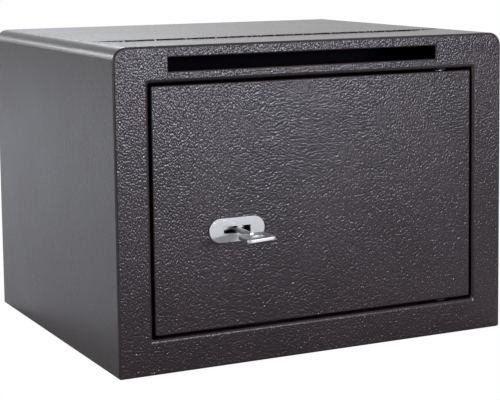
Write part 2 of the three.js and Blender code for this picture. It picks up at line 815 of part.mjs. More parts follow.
// Rotor: a slotted barrel for the key, a neck in the bearing, a square for the cam and a threaded tail
function keyRotor() {
  const barrelRear = caseRear - caseRearWall - fitGap;
  const squareEnd = camRear - fitGap;
  let rotor = turned([
    [0, rotorFrontSetback], [rotorRadius, rotorFrontSetback], [rotorRadius, barrelRear],
    [rotorNeckRadius, barrelRear], [rotorNeckRadius, camFront - fitGap], [0, camFront - fitGap],
  ], fineSteps, alongY, [0, 0, 0]);
  const half = rotorTailSide / 2;
  rotor = rotor.add(block(-half, half, camFront - overrun, squareEnd, -half, half));
  rotor = rotor.add(roundBar(rotorTailRadius, camFront, rotorTailEnd, roundSteps, alongY, [0, 0, 0]));
  const slotHalf = keyBitThickness / 2 + fitGap;
  const slotRear = keyBitSetback + keyBitLength + fitGap;
  rotor = rotor.subtract(block(-rotorRadius - overrun, rotorRadius + overrun, rotorFrontSetback - overrun,
    slotRear, -slotHalf, slotHalf));
  return rotor.subtract(roundBar(keyShankRadius + fitGap, rotorFrontSetback - overrun,
    slotRear + keyTipReach + fitGap, roundSteps, alongY, [0, 0, 0]));
}

// Point on the cam's track at a share of the key's half turn, moved out by an offset
function trackPoint(share, offset) {
  const angle = Math.PI * (1 - share);
  const radius = camTrackStart + boltThrow * share;
  const growth = -boltThrow / Math.PI;
  const alongTrack = new THREE.Vector2(
    growth * Math.cos(angle) - radius * Math.sin(angle),
    growth * Math.sin(angle) + radius * Math.cos(angle)).normalize();
  return new THREE.Vector2(
    radius * Math.cos(angle) + offset * alongTrack.y,
    radius * Math.sin(angle) - offset * alongTrack.x);
}

// Cam whose spiral track moves the bolt bar by the same amount for each degree of the key
function driveCam() {
  const half = followerRadius + fitGap;
  const track = [];
  for (let step = 0; step <= trackSteps; step += 1) track.push(trackPoint(step / trackSteps, half));
  const end = trackPoint(1, 0);
  for (let step = 1; step < cornerSteps; step += 1) {
    const angle = -2 * quarterTurn * step / cornerSteps;
    const start = trackPoint(1, half).sub(end);
    track.push(start.rotateAround(new THREE.Vector2(0, 0), angle).add(end));
  }
  for (let step = trackSteps; step >= 0; step -= 1) track.push(trackPoint(step / trackSteps, -half));
  const first = trackPoint(0, 0);
  for (let step = 1; step < cornerSteps; step += 1) {
    const angle = -2 * quarterTurn * step / cornerSteps;
    const start = trackPoint(0, -half).sub(first);
    track.push(start.rotateAround(new THREE.Vector2(0, 0), angle).add(first));
  }
  const disc = new THREE.Shape(roundedOutline(-camRadius, camRadius, -camRadius, camRadius,
    camRadius, camRadius));
  disc.holes.push(new THREE.Path(track));
  const square = rotorTailSide / 2 + fitGap;
  disc.holes.push(new THREE.Path(
    [[-square, -square], [-square, square], [square, square], [square, -square]].map(
      ([x, z]) => new THREE.Vector2(x, z))));
  for (const side of [-1, 0, 1]) {
    const angle = -quarterTurn + side * quarterTurn / 2;
    disc.holes.push(roundPath(lightenHolePlace * Math.cos(angle), lightenHolePlace * Math.sin(angle),
      lightenHoleRadius));
  }
  return plateAlongY(disc, camFront, camRear);
}

// Key: shank, two stepped bits and a flat bow with a ring hole
function key() {
  const tip = keyBitSetback + keyBitLength + keyTipReach;
  const bowRear = -doorThickness - doorRecess - keyBowSetback;
  const chamfer = keyShankRadius / 3;
  let body = turned([
    [0, bowRear - keyBowRearRadius / 2], [keyShankRadius, bowRear - keyBowRearRadius / 2],
    [keyShankRadius, tip - chamfer], [keyShankRadius - chamfer, tip], [0, tip],
  ], roundSteps, alongY, [0, 0, 0]);
  const steps = keyBitShares.length;
  const bits = new THREE.Shape();
  bits.moveTo(0, keyBitSetback);
  keyBitShares.forEach((share, index) => {
    bits.lineTo(keyBitReach * share, keyBitSetback + keyBitLength * index / steps);
    bits.lineTo(keyBitReach * share, keyBitSetback + keyBitLength * (index + 1) / steps);
  });
  [...keyBitShares].reverse().forEach((share, index) => {
    bits.lineTo(-keyBitReach * share, keyBitSetback + keyBitLength * (1 - index / steps));
    bits.lineTo(-keyBitReach * share, keyBitSetback + keyBitLength * (1 - (index + 1) / steps));
  });
  bits.closePath();
  body = body.add(plateAlongZ(bits, -keyBitThickness / 2, keyBitThickness / 2));
  const bow = new THREE.Shape(roundedOutline(-keyBowWidth / 2, keyBowWidth / 2, bowRear - keyBowLength,
    bowRear, keyBowRearRadius, keyBowFrontRadius));
  const holeY = bowRear - keyBowLength * keyHoleShare;
  bow.holes.push(new THREE.Path(roundedOutline(-keyHoleWidth / 2, keyHoleWidth / 2, holeY - keyHoleRadius,
    holeY + keyHoleRadius, keyHoleRadius, keyHoleRadius).reverse()));
  const blade = plateAlongZ(bow, -keyBowThickness / 2, keyBowThickness / 2);
  return body.add(blade);
}

// Bolt bar: a plate over the lock with guide slots, folded forward where the bolts are riveted,
// and a window beside each rivet head
function boltBar() {
  const shape = roundedShape(barLegLeft, barRightReach, barLow, barHigh, barCornerRadius);
  const rotorHole = rotorNeckRadius + runningGap;
  shape.holes.push(new THREE.Path(roundedOutline(-rotorHole, boltThrow + rotorHole, -rotorHole, rotorHole,
    rotorHole, rotorHole).reverse()));
  const studHole = guideStudRadius + fitGap;
  for (const height of [upperGuideHeight, lowerGuideHeight]) {
    shape.holes.push(new THREE.Path(roundedOutline(guideOffset - studHole, guideOffset + boltThrow + studHole,
      height - studHole, height + studHole, studHole, studHole).reverse()));
  }
  shape.holes.push(roundPath(-camTrackStart, 0, followerRadius + fitGap));
  let bar = plateAlongY(shape, barFront, barRear);
  bar = bar.add(block(barLegLeft, barLegRight, barLegFront, barRear, barLow, barHigh));
  const windowHalf = boltHeadRadius + fitGap;
  const windowEnd = barLegRight + boltHeadThickness + 2 * runningGap;
  for (const height of [upperBoltHeight, lowerBoltHeight]) {
    bar = bar.subtract(roundBar(boltTenonRadius + fitGap, barLegLeft - overrun, barLegRight + overrun,
      roundSteps, alongX, [0, boltDepth, height]));
    bar = bar.subtract(block(barLegRight, windowEnd, barFront - overrun, barRear + overrun,
      height - windowHalf, height + windowHalf));
  }
  return bar;
}

// Locking bolt: chamfered tip, and a tenon through the bar's leg with a riveted head
function lockingBolt(height) {
  const root = barLegLeft - fitGap;
  const headStart = barLegRight + fitGap;
  return turned([
    [0, boltTip], [boltRadius - boltTipChamfer, boltTip], [boltRadius, boltTip + boltTipChamfer],
    [boltRadius, root], [boltTenonRadius, root], [boltTenonRadius, headStart],
    [boltHeadRadius, headStart], [boltHeadRadius - boltHeadThickness / 2, headStart + boltHeadThickness],
    [0, headStart + boltHeadThickness],
  ], fineSteps, alongX, [0, boltDepth, height]);
}

// Guide stud with a shoulder that carries the bar
function guideStud(height) {
  const shoulder = barFront - fitGap;
  const end = barRear + 2 * fitGap + guideNutHeight + studThread;
  return turned([
    [0, fitGap], [guideShoulderRadius, fitGap], [guideShoulderRadius, shoulder],
    [guideStudRadius, shoulder], [guideStudRadius, end], [0, end],
  ], roundSteps, alongY, [guideOffset, 0, height]);
}

// Angle along the door's free edge with a hole for each bolt
function boltGuide() {
  const shape = new THREE.Shape();
  shape.moveTo(bracketLeft, fitGap);
  shape.lineTo(bracketLeft + bracketFoot, fitGap);
  shape.lineTo(bracketLeft + bracketFoot, fitGap + bracketSheet);
  shape.lineTo(bracketRight, fitGap + bracketSheet);
  shape.lineTo(bracketRight, coverDepth);
  shape.lineTo(bracketLeft, coverDepth);
  shape.closePath();
  let bracket = plateAlongZ(shape, bracketLow, bracketHigh);
  for (const height of [upperBoltHeight, lowerBoltHeight]) {
    bracket = bracket.subtract(roundBar(boltHoleRadius, bracketLeft - overrun, bracketRight + overrun,
      fineSteps, alongX, [0, boltDepth, height]));
  }
  return bracket;
}

const coverLeft = bracketRight + fitGap;
const coverRight = caseHalfSpan + coverMargin;
const trayLow = bracketLow - coverSheet - fitGap;
const trayHigh = bracketHigh + coverSheet + fitGap;
const coverStuds = [];
for (const x of [coverLeft + coverStudInset, coverRight - coverStudInset]) {
  for (const z of [trayLow - coverFlange / 2, trayHigh + coverFlange / 2]) coverStuds.push([x, z]);
}
const lockStudPlace = caseWidth / 2 + caseEarLength / 2;

// Cover: a folded tray, open at the bolt guide, with a screw flange above and below
function lockCover() {
  const flanges = roundedShape(coverLeft, coverRight, trayLow - coverFlange, trayHigh + coverFlange,
    coverCornerRadius);
  for (const [x, z] of coverStuds) flanges.holes.push(roundPath(x, z, coverStudRadius + fitGap));
  let cover = plateAlongY(flanges, fitGap, fitGap + coverSheet);
  const tray = roundedShape(coverLeft, coverRight, trayLow, trayHigh, coverCornerRadius);
  cover = cover.add(plateAlongY(tray, fitGap, coverDepth));
  const hollow = roundedShape(coverLeft - 2 * coverCornerRadius, coverRight - coverSheet,
    trayLow + coverSheet, trayHigh - coverSheet, coverCornerRadius - coverSheet);
  return cover.subtract(plateAlongY(hollow, -overrun, coverDepth - coverSheet));
}

addPiece(lock, 'lock_case', lockCase(), zinc);
addPiece(lock, 'key_rotor', keyRotor(), steel);
addPiece(lock, 'drive_cam', driveCam(), steel);
const camNutStart = camRear + fitGap;
addPiece(lock, 'cam_nut', nut(camNutFlats, rotorTailRadius + fitGap, camNutStart, camNutHeight), zinc);
addPiece(lock, 'key', key(), nickel);
addPiece(lock, 'bolt_bar', boltBar(), zinc);
addPiece(lock, 'upper_bolt', lockingBolt(upperBoltHeight), steel);
addPiece(lock, 'lower_bolt', lockingBolt(lowerBoltHeight), steel);
addPiece(lock, 'cam_follower', roundBar(followerRadius, barFront - fitGap, camRear, roundSteps, alongY,
  [-camTrackStart, 0, 0]), steel);
addPiece(lock, 'bolt_guide', boltGuide(), zinc);
addPiece(lock, 'lock_cover', lockCover(), paint);

const guides = [['upper', upperGuideHeight], ['lower', lowerGuideHeight]];
for (const [place, height] of guides) {
  addPiece(lock, `${place}_guide_stud`, guideStud(height), zinc);
  const guideNut = nut(guideNutFlats, guideStudRadius + fitGap, barRear + fitGap, guideNutHeight);
  const piece = addPiece(lock, `${place}_guide_nut`, guideNut, zinc);
  piece.position.set(guideOffset, 0, height);
}
for (const [place, side] of [['left', -1], ['right', 1]]) {
  const base = caseFront + caseEarThickness + fitGap;
  const stud = roundBar(lockStudRadius, fitGap, base + lockNutHeight + studThread, roundSteps, alongY,
    [0, 0, 0]);
  const studPiece = addPiece(lock, `${place}_lock_stud`, stud, zinc);
  studPiece.position.set(side * lockStudPlace, 0, 0);
  const nutPiece = addPiece(lock, `${place}_lock_nut`,
    nut(lockNutFlats, lockStudRadius + fitGap, base, lockNutHeight), zinc);
  nutPiece.position.copy(studPiece.position);
}
coverStuds.forEach(([x, z], index) => {
  const base = 2 * fitGap + coverSheet;
  const stud = roundBar(coverStudRadius, fitGap, base + coverNutHeight + studThread, roundSteps, alongY,
    [0, 0, 0]);
  const studPiece = addPiece(lock, `cover_stud_${index + 1}`, stud, zinc);
  studPiece.position.set(x, 0, z);
  const nutPiece = addPiece(lock, `cover_nut_${index + 1}`,
    nut(coverNutFlats, coverStudRadius + fitGap, base, coverNutHeight), zinc);
  nutPiece.position.copy(studPiece.position);
});

export default safe;
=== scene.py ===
import math
import bpy
from mathutils import Matrix, Vector


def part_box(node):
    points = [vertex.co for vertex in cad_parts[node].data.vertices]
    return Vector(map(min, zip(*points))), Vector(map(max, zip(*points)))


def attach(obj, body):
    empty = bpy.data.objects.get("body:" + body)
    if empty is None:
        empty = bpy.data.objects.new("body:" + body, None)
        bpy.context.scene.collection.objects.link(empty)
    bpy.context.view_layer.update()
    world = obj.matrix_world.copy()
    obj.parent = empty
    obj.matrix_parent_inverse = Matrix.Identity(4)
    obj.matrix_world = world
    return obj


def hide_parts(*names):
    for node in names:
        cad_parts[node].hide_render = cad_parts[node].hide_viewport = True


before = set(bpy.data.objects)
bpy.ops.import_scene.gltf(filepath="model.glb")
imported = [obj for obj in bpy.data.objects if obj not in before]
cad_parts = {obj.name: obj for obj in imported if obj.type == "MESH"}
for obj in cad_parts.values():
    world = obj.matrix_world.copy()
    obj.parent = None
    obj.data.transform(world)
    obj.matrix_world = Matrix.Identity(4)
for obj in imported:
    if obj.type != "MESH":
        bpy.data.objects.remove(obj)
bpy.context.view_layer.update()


# Camera, fitted to the photograph's edges
shot = {
    "place": (-0.58256, -1.23877, 0.32958),
    "turn": 27.5216,        # degrees to the right of straight ahead
    "drop": 6.6496,         # degrees below level
    "roll": -0.4806,
    "lens": 111.575,
    "sensor": 36,
    "shift": (-0.10596, -0.14794),
    "farthest": 60,
}


def setCamera():
    cam = bpy.data.cameras.new("camera")
    cam.lens = shot["lens"]
    cam.sensor_fit = "HORIZONTAL"
    cam.sensor_width = shot["sensor"]
    cam.shift_x, cam.shift_y = shot["shift"]
    cam.clip_end = shot["farthest"]
    holder = bpy.data.objects.new("camera", cam)
    bpy.context.scene.collection.objects.link(holder)
    turn = Matrix.Rotation(-math.radians(shot["turn"]), 4, "Z")
    tilt = Matrix.Rotation(math.radians(90 - shot["drop"]), 4, "X")     # at 90 it looks level
    roll = Matrix.Rotation(math.radians(shot["roll"]), 4, "Z")
    holder.matrix_world = Matrix.Translation(shot["place"]) @ turn @ tilt @ roll
    bpy.context.scene.camera = holder


# Modelling helpers
near = 1e-5                 # places closer than this, in metres, are one
smoothAngle = 35            # degrees up to which two faces shade as one
flatWeight = 80             # how much the large faces rule the shading at a bend


def dropSelection():
    if bpy.context.mode != "OBJECT":
        bpy.ops.object.mode_set(mode="OBJECT")
    bpy.ops.object.select_all(action="DESELECT")


def makeActive(piece):
    dropSelection()
    piece.select_set(True)
    bpy.context.view_layer.objects.active = piece


def nameNew(name):
    piece = bpy.context.active_object
    piece.name = name
    piece.data.name = name
    return piece


def fixPlace(piece):
    # the place goes into the mesh, and the object to the origin
    makeActive(piece)
    bpy.ops.object.transform_apply(location=True, rotation=True, scale=True)
    return piece


def addBlock(name, low, high):
    dropSelection()
    middle = [(a + b) / 2 for a, b in zip(low, high)]
    size = [b - a for a, b in zip(low, high)]
    bpy.ops.mesh.primitive_cube_add(size=1, location=middle, scale=size)
    return fixPlace(nameNew(name))


def addRod(name, radius, start, end, sides=48):
    # round bar between two points
    dropSelection()
    start, end = Vector(start), Vector(end)
    run = end - start
    bpy.ops.mesh.primitive_cylinder_add(vertices=sides, radius=radius, depth=run.length,
                                        location=(start + end) / 2,
                                        rotation=run.to_track_quat("Z", "Y").to_euler())
    return fixPlace(nameNew(name))


def pick(piece, kind, wanted):
    # edit mode, with the elements selected whose points pass the test
    makeActive(piece)
    bpy.ops.object.mode_set(mode="EDIT")
    bpy.ops.mesh.select_mode(type=kind)
    bpy.ops.mesh.select_all(action="DESELECT")
    bpy.ops.object.mode_set(mode="OBJECT")
    mesh = piece.data
    lists = {"VERT": mesh.vertices, "EDGE": mesh.edges, "FACE": mesh.polygons}
    found = 0
    for item in lists[kind]:
        points = [item.co] if kind == "VERT" else [mesh.vertices[i].co for i in item.vertices]
        item.select = bool(wanted(points))
        found += item.select
    bpy.ops.object.mode_set(mode="EDIT")
    return found


def leaveEdit():
    bpy.ops.object.mode_set(mode="OBJECT")


def allAt(axis, value):
    # elements that lie in a plane across one axis
    return lambda points: all(abs(p[axis] - value) < near for p in points)


def along(axis):
    # edges that run along one axis
    others = [i for i in range(3) if i != axis]
    return lambda points: all(abs(points[0][i] - points[1][i]) < near for i in others)


def bevelEdges(piece, wanted, width, steps, clamp=True):
    found = pick(piece, "EDGE", wanted)
    if found:
        bpy.ops.mesh.bevel(offset=width, segments=steps, affect="EDGES", clamp_overlap=clamp)
    leaveEdit()
    return found


def divide(piece, wanted, axis, value):
    # cut the wanted faces along a plane
    pick(piece, "FACE", wanted)
    place, normal = [0, 0, 0], [0, 0, 0]
    place[axis], normal[axis] = value, 1
    bpy.ops.mesh.bisect(plane_co=place, plane_no=normal)
    leaveEdit()


def deleteFaces(piece, wanted):
    pick(piece, "FACE", wanted)
    bpy.ops.mesh.delete(type="FACE")
    leaveEdit()


def applyModifier(piece, kind, **values):
    makeActive(piece)
    modifier = piece.modifiers.new(kind.lower(), kind)
    for key, value in values.items():
        setattr(modifier, key, value)
    bpy.ops.object.modifier_apply(modifier=modifier.name)


def combine(piece, other, operation="DIFFERENCE"):
    applyModifier(piece, "BOOLEAN", object=other, operation=operation, solver="EXACT")
    bpy.data.meshes.remove(other.data)
    return piece


def joined(pieces, name):
    dropSelection()
    for piece in pieces:
        piece.select_set(True)
    bpy.context.view_layer.objects.active = pieces[0]
    bpy.ops.object.join()
    return nameNew(name)


def cleanNormals(piece):
    pick(piece, "FACE", lambda points: True)
    bpy.ops.mesh.remove_doubles(threshold=near / 2)
    bpy.ops.mesh.normals_make_consistent(inside=False)
    leaveEdit()


def smooth(piece):
    makeActive(piece)
    bpy.ops.object.shade_smooth_by_angle(angle=math.radians(smoothAngle))
    applyModifier(piece, "WEIGHTED_NORMAL", keep_sharp=True, weight=flatWeight)
    dropSelection()


def finishPiece(piece, body, material, *nodes, slot):
    smooth(piece)
    piece.data.materials.clear()
    piece.data.materials.append(material)
    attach(piece, body)
    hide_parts(*nodes)


# Shader helpers
def newMaterial(name):
    material = bpy.data.materials.new(name)
    material.use_nodes = True
    nodes = material.node_tree.nodes
    nodes.clear()
    output = nodes.new("ShaderNodeOutputMaterial")
    shader = nodes.new("ShaderNodeBsdfPrincipled")
    material.node_tree.links.new(shader.outputs["BSDF"], output.inputs["Surface"])
    return material, shader


def addNode(tree, kind, **values):
    node = tree.nodes.new(kind)
    for key, value in values.items():
        setattr(node, key, value)
    return node


def mathNode(tree, operation, *values):
    node = addNode(tree, "ShaderNodeMath", operation=operation)
    for socket, value in zip(node.inputs, values):
        if isinstance(value, (int, float)):
            socket.default_value = value
        else:
            tree.links.new(value, socket)
    return node.outputs[0]


def rangeNode(tree, value, low, high, outLow=0.0, outHigh=1.0):
    node = addNode(tree, "ShaderNodeMapRange", interpolation_type="SMOOTHSTEP")
    tree.links.new(value, node.inputs["Value"])
    for key, number in (("From Min", low), ("From Max", high), ("To Min", outLow), ("To Max", outHigh)):
        node.inputs[key].default_value = number
    return node.outputs["Result"]


def colourMix(tree, factor, first, second):
    # a Mix node has its colours in the sockets 6 and 7, and gives the mixed one in 2
    node = addNode(tree, "ShaderNodeMix", data_type="RGBA")
    tree.links.new(factor, node.inputs[0])
    for socket, colour in ((node.inputs[6], first), (node.inputs[7], second)):
        if isinstance(colour, tuple):
            socket.default_value = (*colour, 1)
        else:
            tree.links.new(colour, socket)
    return node.outputs[2]


def stretched(tree, position, scale):
    node = addNode(tree, "ShaderNodeMapping")
    node.inputs["Scale"].default_value = scale
    tree.links.new(position, node.inputs["Vector"])
    return node.outputs["Vector"]


def noiseNode(tree, position, scale, detail, distortion=0.0, output="Fac"):
    node = addNode(tree, "ShaderNodeTexNoise")
    node.inputs["Scale"].default_value = scale
    node.inputs["Detail"].default_value = detail
    node.inputs["Distortion"].default_value = distortion
    tree.links.new(position, node.inputs["Vector"])
    return node.outputs[output]


def bumpNode(tree, shader, height, depth, strength=1.0):
    node = addNode(tree, "ShaderNodeBump")
    node.inputs["Strength"].default_value = strength
    node.inputs["Distance"].default_value = depth
    tree.links.new(height, node.inputs["Height"])
    tree.links.new(node.outputs["Normal"], shader.inputs["Normal"])


def newGroup(name, inputs, outputs):
    tree = bpy.data.node_groups.new(name, "ShaderNodeTree")
    for way, sockets in (("INPUT", inputs), ("OUTPUT", outputs)):
        for label, kind in sockets.items():
            tree.interface.new_socket(label, in_out=way, socket_type="NodeSocket" + kind)
    return tree, tree.nodes.new("NodeGroupInput"), tree.nodes.new("NodeGroupOutput")


def placeGroup(tree, group, values):
    node = addNode(tree, "ShaderNodeGroup", node_tree=group)
    for label, value in values.items():
        node.inputs[label].default_value = value
    return node


# Hammered coat: small rounded pips that flow out flat on bent edges, and an uneven tone
grain = {
    "wanderScale": 460,
    "wanderDetail": 1.0,
    "wander": 0.0010,           # metres by which the pips stray from an even spread
    "stretch": (2.0, 2.0, 1.3),     # the pips are narrower than they are tall
    "smoothness": 0.35,
    "steepness": 2.0,
    "edgeStart": 0.9995,        # largest part of the normal where an edge starts to bend
    "edgeFull": 0.965,
    "wrapStart": 0.95,          # part of the normal that faces the front or the back
    "wrapFull": 0.55,
    "toneScale": 14,
    "toneDetail": 3,
}


def makeCoatGrain():
    tree, given, result = newGroup(
        "coatGrain",
        {"Position": "Vector", "Facing": "Vector", "Density": "Float", "Edge Flatness": "Float",
         "Wrap Flatness": "Float"},
        {"Height": "Float", "Edge": "Float", "Tone": "Float"})
    link = tree.links.new
    position = given.outputs["Position"]
    wander = noiseNode(tree, position, grain["wanderScale"], grain["wanderDetail"], output="Color")
    shift = addNode(tree, "ShaderNodeVectorMath", operation="MULTIPLY_ADD")
    link(wander, shift.inputs[0])
    shift.inputs[1].default_value = (grain["wander"],) * 3
    link(position, shift.inputs[2])
    pips = addNode(tree, "ShaderNodeTexVoronoi", feature="SMOOTH_F1")
    pips.inputs["Smoothness"].default_value = grain["smoothness"]
    link(stretched(tree, shift.outputs[0], grain["stretch"]), pips.inputs["Vector"])
    link(given.outputs["Density"], pips.inputs["Scale"])
    slope = mathNode(tree, "POWER", pips.outputs["Distance"], grain["steepness"])
    height = mathNode(tree, "SUBTRACT", 1.0, slope)
    # how far the surface is turned from the three main directions
    split = addNode(tree, "ShaderNodeSeparateXYZ")
    link(given.outputs["Facing"], split.inputs[0])
    parts = [mathNode(tree, "ABSOLUTE", split.outputs[i]) for i in range(3)]
    largest = mathNode(tree, "MAXIMUM", mathNode(tree, "MAXIMUM", parts[0], parts[1]), parts[2])
    edge = rangeNode(tree, largest, grain["edgeFull"], grain["edgeStart"], 1.0, 0.0)
    # the coat lies flatter on the roof, floor and sides than on the front and the back
    wrap = rangeNode(tree, parts[1], grain["wrapFull"], grain["wrapStart"], 1.0, 0.0)
    for mask, label in ((edge, "Edge Flatness"), (wrap, "Wrap Flatness")):
        lost = mathNode(tree, "MULTIPLY", mask, given.outputs[label])
        height = mathNode(tree, "MULTIPLY", height, mathNode(tree, "SUBTRACT", 1.0, lost))
    link(height, result.inputs["Height"])
    link(edge, result.inputs["Edge"])
    link(noiseNode(tree, position, grain["toneScale"], grain["toneDetail"]), result.inputs["Tone"])
    return tree


coatGrain = makeCoatGrain()

coat = {
    "colour": (0.017, 0.0056, 0.008),
    "dark": (0.013, 0.0042, 0.006),
    # painted shade: the bent edges take a darker colour than the flat coat
    "edgeShade": (0.013, 0.0046, 0.0065),
    "roughness": 0.25,
    "edgeRoughness": 0.29,
    "cloudRoughness": 0.04,
    "gloss": 0.51,
    "density": 430.0,
    "bumpDepth": 0.00030,
    "edgeFlatness": 0.6,
    "wrapFlatness": 0.6,
    "toneRange": (0.35, 0.65),
    "cloudRange": (0.3, 0.7),
}
inner = {**coat, "roughness": 0.45, "gloss": 0.4, "bumpDepth": 0.00012}
# near-black coat that stands in for the shade inside the slot, the keyway and the gaps: painted shade
matt = {
    **coat,
    "colour": (0.004, 0.003, 0.005),
    "dark": (0.003, 0.002, 0.004),
    "edgeShade": (0.003, 0.002, 0.004),
    "roughness": 0.8,
    "edgeRoughness": 0.85,
    "gloss": 0.04,
    "bumpDepth": 0.0001,
}


def makeCoat(name, values):
    material, shader = newMaterial(name)
    tree = material.node_tree
    link = tree.links.new
    place = addNode(tree, "ShaderNodeTexCoord")
    effect = placeGroup(tree, coatGrain, {
        "Density": values["density"],
        "Edge Flatness": values["edgeFlatness"],
        "Wrap Flatness": values["wrapFlatness"],
    })
    link(place.outputs["Object"], effect.inputs["Position"])
    link(place.outputs["Normal"], effect.inputs["Facing"])
    bumpNode(tree, shader, effect.outputs["Height"], values["bumpDepth"])
    edge, cloud = effect.outputs["Edge"], effect.outputs["Tone"]
    tone = rangeNode(tree, cloud, *values["toneRange"])
    base = colourMix(tree, tone, values["dark"], values["colour"])
    # painted shade: the bends are coloured darker through the edge mask
    link(colourMix(tree, edge, base, values["edgeShade"]), shader.inputs["Base Color"])
    rough = rangeNode(tree, edge, 0.0, 1.0, values["roughness"], values["edgeRoughness"])
    rougher = rangeNode(tree, cloud, *values["cloudRange"], 0.0, values["cloudRoughness"])
    link(mathNode(tree, "ADD", rough, rougher), shader.inputs["Roughness"])
    shader.inputs["Specular IOR Level"].default_value = values["gloss"]
    return material


# Metals with faint rolling or turning lines and a cloudy gloss
metal = {
    "cloudScale": 90,
    "cloudDetail": 4,
    "cloudRange": (0.3, 0.7),
    "smoother": 0.02,           # how far the roughness strays down and up
    "rougher": 0.04,
    "lineDetail": 2,
    "lineDepth": 0.00002,
    "lineStrength": 0.12,
}
finishes = {
    # colour, roughness, scale of the lines along each axis, darkest share of the colour
    "satinNickel": ((0.405, 0.40, 0.393), 0.50, (60, 60, 1600), 0.95),
    "keyNickel": ((0.66, 0.655, 0.65), 0.38, (900, 60, 60), 0.95),
    "zincPlate": ((0.60, 0.62, 0.65), 0.36, (60, 60, 1600), 0.86),
    "brightSteel": ((0.60, 0.60, 0.61), 0.24, (1600, 60, 60), 0.86),
    # near black; on the hinge bushes this colour is painted shade
    "darkSteelShade": ((0.035, 0.034, 0.036), 0.5, (60, 60, 1600), 0.6),
}


def makeMetal(name, colour, roughness, lines, darkest):
    material, shader = newMaterial(name)
    tree = material.node_tree
    link = tree.links.new
    place = addNode(tree, "ShaderNodeTexCoord").outputs["Object"]
    cloud = noiseNode(tree, place, metal["cloudScale"], metal["cloudDetail"])
    scratch = noiseNode(tree, stretched(tree, place, lines), 1.0, metal["lineDetail"])
    shader.inputs["Metallic"].default_value = 1.0
    darker = tuple(part * darkest for part in colour)
    link(colourMix(tree, cloud, darker, colour), shader.inputs["Base Color"])
    rough = rangeNode(tree, cloud, *metal["cloudRange"], roughness - metal["smoother"],
                      roughness + metal["rougher"])
    link(rough, shader.inputs["Roughness"])
    bumpNode(tree, shader, scratch, metal["lineDepth"], metal["lineStrength"])
    return material


# Felt of short matted fibres
felt = {
    "colour": (0.022, 0.0215, 0.024),
    "tipShare": 1.9,            # how much lighter the fibres' tips are
    "fibreStretch": (1.0, 0.3, 1.0),
    "fibreScale": 1800,
    "fibreDetail": 4,
    "fibreCurl": 2.5,
    "mattedScale": 160,
    "mattedDetail": 3,
    "mattedRange": (0.3, 0.7),
    "roughness": (0.86, 0.98),
    "depth": 0.0006,
    "strength": 0.8,
    "sheen": 0.25,
    "gloss": 0.2,
}


def makeFelt(name):
    material, shader = newMaterial(name)
    tree = material.node_tree
    link = tree.links.new
    place = addNode(tree, "ShaderNodeTexCoord").outputs["Object"]
    fibre = noiseNode(tree, stretched(tree, place, felt["fibreStretch"]), felt["fibreScale"],
                      felt["fibreDetail"], felt["fibreCurl"])
    matted = noiseNode(tree, place, felt["mattedScale"], felt["mattedDetail"])
    tip = tuple(part * felt["tipShare"] for part in felt["colour"])
    link(colourMix(tree, fibre, felt["colour"], tip), shader.inputs["Base Color"])
    link(rangeNode(tree, matted, *felt["mattedRange"], *felt["roughness"]), shader.inputs["Roughness"])
    bumpNode(tree, shader, mathNode(tree, "ADD", fibre, matted), felt["depth"], felt["strength"])
    shader.inputs["Sheen Weight"].default_value = felt["sheen"]
    shader.inputs["Specular IOR Level"].default_value = felt["gloss"]
    return material


bodyCoat = makeCoat("bodyCoat", coat)
innerCoat = makeCoat("innerCoat", inner)
shadeBlack = makeCoat("shadeBlack", matt)
metals = {name: makeMetal(name, *values) for name, values in finishes.items()}
matFelt = makeFelt("matFelt")
print("materials made")


# Body shell: roof, sides, floor and pressed front in one painted skin
shell = {
    "sheet": 0.002,
    "roofRadius": 0.011,
    "roofSteps": 8,
    "floorRadius": 0.002,
    "floorSteps": 4,
    "frontRadius": 0.0035,
    "frontSteps": 6,
    "border": 0.0285,
    "lipRadius": 0.0032,
    "lipSteps": 6,
    "lipDepth": 0.030,
    "lipCorner": 0.0015,
    "lipCornerSteps": 3,
    "slotLeft": -0.130,
    "slotRight": 0.110,
    "slotLow": 0.2353,
    "slotHigh": 0.2458,
    "slotEdge": 0.0013,
    "slotEdgeSteps": 4,
    "tabCount": 12,
    "tabRowInset": 0.013,
    "tabBridge": 0.0015,
    "tabSlotHalf": 0.0013,
    "tabRowSetback": 0.080,
    "stripFront": 0.012,        # where the sunk strip of the roof runs out to the front
    "stripSink": 0.0011,        # the welds at the tabs draw the strip down
    "stripTaper": 0.030,
    "anchorRadius": 0.0055,
    "anchorSpacing": 0.200,
    "anchorSetback": 0.020,
    "boltHoleGap": 0.0016,
    "bushPastPin": 0.0015,      # how far a bush's barrel stands out past its pin
    "bushHoleGap": 0.0003,
    "over": 0.004,              # how far a cutter runs past the sheet
}
shellLow = Vector(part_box("front_frame")[0])
shellHigh = Vector(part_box("body_wrap")[1])
# openings in the front: left, right, low, high
doorway = (shellLow.x + shell["border"], shellHigh.x - shell["border"],
           shell["border"], shellHigh.z - shell["border"])
depositSlot = (shell["slotLeft"], shell["slotRight"], shell["slotLow"], shell["slotHigh"])


def onTop(points):
    return all(p.z > shellHigh.z - near for p in points)


def inBox(box, axis, level):
    # faces at a level of one axis whose middle lies in the box of the two others
    first, second = [i for i in range(3) if i != axis]

    def test(points):
        middle = sum(points, Vector()) / len(points)
        return (allAt(axis, level)(points) and box[0] < middle[first] < box[1]
                and box[2] < middle[second] < box[3])
    return test


def onRim(box):
    # edges on the outline of an opening in the front
    sides = [allAt(axis, value) for axis, value in zip((0, 0, 2, 2), box)]

    def test(points):
        fits = all(box[0] - near < p.x < box[1] + near and box[2] - near < p.z < box[3] + near
                   for p in points)
        return fits and allAt(1, shellLow.y)(points) and any(side(points) for side in sides)
    return test


def offDoorway(point):
    # how far a point lies from the doorway's sides, and from its top or bottom
    return (min(abs(point.x - doorway[0]), abs(point.x - doorway[1])),
            min(abs(point.z - doorway[2]), abs(point.z - doorway[3])))


